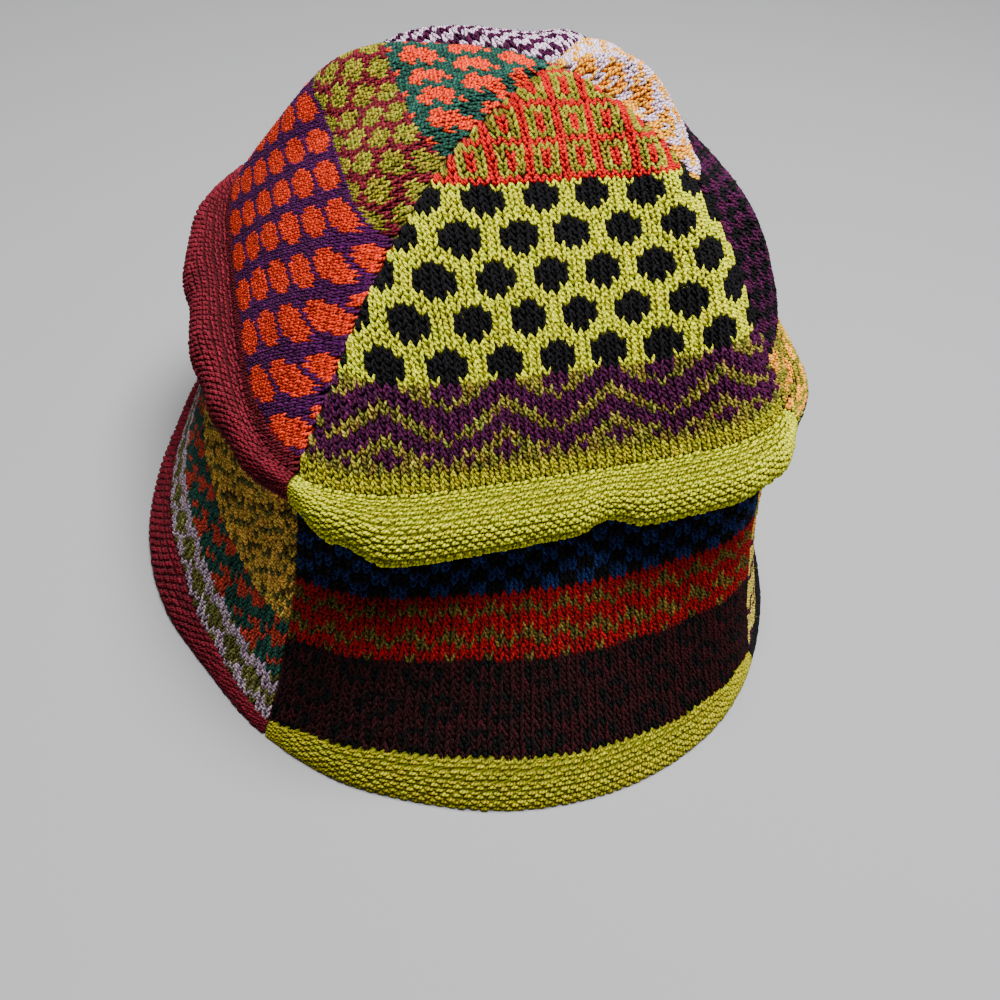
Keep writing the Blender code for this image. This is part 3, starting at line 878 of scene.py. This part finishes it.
# Where the rows of bumps, and the chain of larger ones above them, begin and end on the way round the lip
BUMPS_FROM, BUMPS_TO = 0.085, 0.62
CHAIN_FROM, CHAIN_TO, CHAIN_THICK = 0.062, 0.088, 1.3
CHAIN_SHARE = 0.05             # of the baking map's width
lip_table = smooth_section(LIP_SECTION)
for order, quarter in enumerate(QUARTERS):
    draw = np.random.default_rng(SEED + 10 + order)

    def lip_face(across, along):
        out_share, out_mm, down_share, down_mm = section_at(lip_table, along)
        out, down = between_rows(LIP_ROWS[quarter], across)
        return ridge_point(quarter_angle(quarter, across), out_share * out * RELIEF_OUT + out_mm,
                           down_share * down * RELIEF_DOWN + down_mm + GAP) + RIDGE_MIDDLE

    lip_columns = quarter_columns(quarter)
    lip = closed_roll("lip_piece_" + quarter, lip_face, lip_columns, LIP_STEPS, LIP_YARN[quarter], draw)
    bands = LIP_BANDS[quarter]
    bumps = purl_bumps(lip_face, lip_columns, LIP_BUMP_ROWS, BUMPS_FROM, BUMPS_TO, bands, draw)
    chain = purl_bumps(lip_face, lip_columns, 1, CHAIN_FROM, CHAIN_TO, bands, draw, CHAIN_THICK)
    lot = joined_strands([(bumps, 1 - CHAIN_SHARE), (chain, CHAIN_SHARE)])
    lip = join_into(lip, strand_object("bumps", lot))
    finish_piece(lip, "lip_" + quarter, LIP_SLOT[quarter])


# Brim panels: four quarters of knitted colourwork, sewn under the lips and flared down to the hem.
# Every panel keeps its count of stitches from top to bottom, so the columns fan out with the flare.
RIM = {"left": 117, "right": 102, "front": 140, "back": 131}
RIM_SQUARENESS = {"left": 2.1, "right": 2.35}
BRIM_HOLLOW = 4
BRIM_SET_IN = 1
LIP_ROOT = 3.2
BRIM_WAVES = {
    #         across, reach, height
    "front": [(0.50, 0.30, 1.5), (0.14, 0.14, 0.8)],
    "right": [(0.55, 0.30, -2.5)],
    "back": [(0.35, 0.26, 2.5), (0.75, 0.24, -2.5)],
    "left": [(0.28, 0.28, -4.0), (0.64, 0.18, 1.0), (0.86, 0.14, -1.5)],
}
HEM_ROWS = {
    #         share, height
    "front": [(0.00, 5.0), (0.10, 9.5), (0.22, 12.5), (0.36, 14.0), (0.60, 13.0), (0.82, 11.0),
              (0.93, 8.0), (1.00, 5.0)],
    "right": [(0.00, 5.0), (0.15, 10.0), (0.40, 14.0), (0.75, 13.5), (0.90, 9.0), (1.00, 6.0)],
    "back": [(0.00, 6.0), (0.18, 12.0), (0.50, 14.5), (0.80, 12.5), (1.00, 7.0)],
    "left": [(0.00, 7.0), (0.20, 13.0), (0.45, 15.5), (0.68, 15.0), (0.82, 9.0), (0.91, 6.0), (1.00, 4.5)],
}
BRIM_ROWS = 39
CHECKS = ["nnkk", "nnkk", "kknn", "kknn"]
WAVES = ["cccc", "bccc", "bbcb", "ccbc", "cccc", "bccc", "bbcb", "cbbc", "cccc", "bccc"]
# the black of the links is x, the black darkened as painted shade
LINKS = ["dxxddd", "xddxdd", "xddxdd", "dxxddd", "dddddd", "dddxxd", "ddxddx", "ddxddx", "dddxxd", "dddddd"]
FLECKS = ["uuzuubu", "uzuuubz", "zuuuzuu", "uubuuzu", "uuzuuuz", "bzuuzuu", "uuuzuub"]
SPOTS = ["gssggsg", "sssgggg", "gsgggss", "ggggsss", "ggsggsg", "gsssggg", "ggsgggs"]
# the lavender of the stripes is t, the lavender white greyed and darkened as painted shade
STRIPES = ["ttzt", "tttt", "zttz", "zzzz", "ztzz", "tttz", "zttt"]
EYELETS = ["ypyyyy", "pppyyy", "ypyyyy", "yyyypy", "yyyppp", "yyyypy"]
BRIM_BANDS = {
    "front": [(14, LINKS, 0), (10, WAVES, 0), (96, CHECKS, 0)],
    "right": [(20, EYELETS, 0), (96, BEADS, 0)],
    "back": [(14, CROSSES, 0), (12, WAVES, 0), (96, BLOCKS, 0)],
    "left": [(7, STRIPES, 0), (9, SPOTS, 0), (96, FLECKS, 0)],
}


def brim_face(quarter, across, along, out=0.0):
    """Points of the brim's outer face: along is 0 under the lip and 1 on the ground."""
    angle = quarter_angle(quarter, across)
    top = ridge_point(angle, out=-BRIM_SET_IN + 0 * across, down=LIP_ROOT + 2 * GAP)
    foot = squared_oval(angle, RIM, RIM_SQUARENESS)
    far = along[..., None]
    wave = -BRIM_HOLLOW * np.sin(math.pi * along)
    for place, reach, height in BRIM_WAVES[quarter]:
        wave = wave + height * (1 - smooth(np.abs(across - place) / reach)) * smooth(along / 0.8)
    ways = outward(angle, RIDGE, RIDGE_SQUARENESS) * (1 - far) + outward(angle, RIM, RIM_SQUARENESS) * far
    return top + (foot - top) * far + unit(ways) * (wave + out)[..., None] + RIDGE_MIDDLE


def brim_height(quarter, across):
    """Height of the brim's top edge above the ground."""
    return ridge_point(quarter_angle(quarter, across), down=LIP_ROOT + 2 * GAP)[..., 2]


for order, quarter in enumerate(QUARTERS):
    draw = np.random.default_rng(SEED + 20 + order)
    brim_columns = quarter_columns(quarter)

    def brim_surface(across, along):
        return brim_face(quarter, across, along)

    def brim_place(column, row):
        across = np.clip(column / brim_columns, 0, 1)
        hem = between_rows(HEM_ROWS[quarter], across)[0] + GAP
        last = 1 - hem / brim_height(quarter, across)
        return across, np.clip(last * (1 - row / BRIM_ROWS), 0, 1)

    column, row = stitch_grid(0, brim_columns, BRIM_ROWS)
    bands = BRIM_BANDS[quarter]
    letters = knitted_letters(bands, column, row)
    lots = knit_stitches(brim_surface, brim_place, column, row, letters, draw)
    lots.append((wrong_side(brim_surface, brim_place, column, row, letters, draw), INSIDE_SHARE))
    fibres = loose_fibres(brim_surface, brim_place, column, row, letters, FIBRES, draw)
    lots.append((fibres, BRIM_FIBRE_SHARE))
    panel = cloth_backing(
        "panel_" + quarter, brim_surface, lambda u, v: brim_place(u * brim_columns, v * BRIM_ROWS), bands,
        brim_columns, BRIM_ROWS, draw, lambda u, v: (u * brim_columns, v * BRIM_ROWS))
    panel = join_into(panel, strand_object("stitches", joined_strands(lots)))
    finish_piece(panel, "brim_" + quarter, "brim_" + quarter + "_knit")


# Hems: the brim's doubled edge, one colour to a quarter, purl side out and rolled at its foot.
# The wool is pressed flat where the hat rests on it.
HEM_SECTION = [
    # mm out, mm more at a full roll, share of the hem's height: down the outside, then up the inside
    (0.0, 0.0, 1.00), (0.0, 1.5, 0.86), (0.2, 2.2, 0.52), (0.2, 1.7, 0.20), (0.0, 0.1, 0.00),
    (-3.3, 0.0, 0.00), (-3.4, -1.0, 0.20), (-3.2, -1.3, 0.52), (-3.0, -0.9, 0.86), (-3.0, 0.0, 1.00),
]
FULL_HEM = 14
HEM_STEPS = 36
HEM_BUMP_ROWS = 26
HEM_BUMPS_FROM, HEM_BUMPS_TO = 0.0, 0.92
PRESSED_FROM, PRESSED_TO, PRESS_DEPTH = 0.4, 0.1, 0.6    # relief lower than the first is pressed flat
# the front hem's bumps are in L, the lime darkened as painted shade
HEM_BANDS = dict(LIP_BANDS, front=[(96, ["L"], 0)], right=[(96, ["k"], 0)])
hem_table = smooth_section([(out, more, up * FULL_HEM) for out, more, up in HEM_SECTION])
for order, quarter in enumerate(QUARTERS):
    draw = np.random.default_rng(SEED + 30 + order)

    def hem_face(across, along):
        out, more, up = section_at(hem_table, along)
        height = between_rows(HEM_ROWS[quarter], across)[0]
        up = np.clip(up / FULL_HEM, 0.0, 1.0)
        down = 1 - height * up / brim_height(quarter, across)
        return brim_face(quarter, across, down, out + more * height / FULL_HEM)

    hem_columns = quarter_columns(quarter)
    hem = closed_roll("hem_piece_" + quarter, hem_face, hem_columns, HEM_STEPS, LIP_YARN[quarter], draw)
    bumps = purl_bumps(hem_face, hem_columns, HEM_BUMP_ROWS, HEM_BUMPS_FROM, HEM_BUMPS_TO,
                       HEM_BANDS[quarter], draw)
    hem = join_into(hem, strand_object("bumps", bumps))
    spots = np.empty(len(hem.data.vertices) * 3)
    hem.data.vertices.foreach_get("co", spots)
    height = spots[2::3] / MM
    pressed = PRESSED_TO + (PRESSED_FROM - PRESSED_TO) * np.exp((height - PRESSED_FROM) / PRESS_DEPTH)
    spots[2::3] = np.where(height < PRESSED_FROM, pressed, height) * MM
    hem.data.vertices.foreach_set("co", spots)
    finish_piece(hem, "hem_" + quarter, LIP_SLOT[quarter])


# Floor and soft studio light
bpy.ops.object.select_all(action="DESELECT")
bpy.ops.mesh.primitive_plane_add(size=6, location=(0, 0, 0))
floor = bpy.context.active_object
floor.name = "floor"
floor_material = bpy.data.materials.new("pale_floor")
floor_material.use_nodes = True
floor_material.node_tree.nodes["Principled BSDF"].inputs["Base Color"].default_value = (0.34, 0.34, 0.35, 1)
floor_material.node_tree.nodes["Principled BSDF"].inputs["Roughness"].default_value = 0.9
floor.data.materials.append(floor_material)

for name, place, target, size, power in (
    ("overhead", (0.22, -0.06, 1.25), (0.0, 0.0, 0.10), 0.6, 42),
    ("front_fill", (-0.5, -1.2, 0.7), (0.0, 0.0, 0.08), 0.9, 0.5),
):
    light_data = bpy.data.lights.new(name, "AREA")
    light_data.size = size
    light_data.energy = power
    light = bpy.data.objects.new(name, light_data)
    light.location = place
    light.rotation_euler = (Vector(target) - Vector(place)).to_track_quat("-Z", "Y").to_euler()
    bpy.context.scene.collection.objects.link(light)
world = bpy.data.worlds.new("studio")
bpy.context.scene.world = world
world.use_nodes = True
world.node_tree.nodes["Background"].inputs["Color"].default_value = (0.95, 0.97, 1.0, 1)
world.node_tree.nodes["Background"].inputs["Strength"].default_value = 0.06
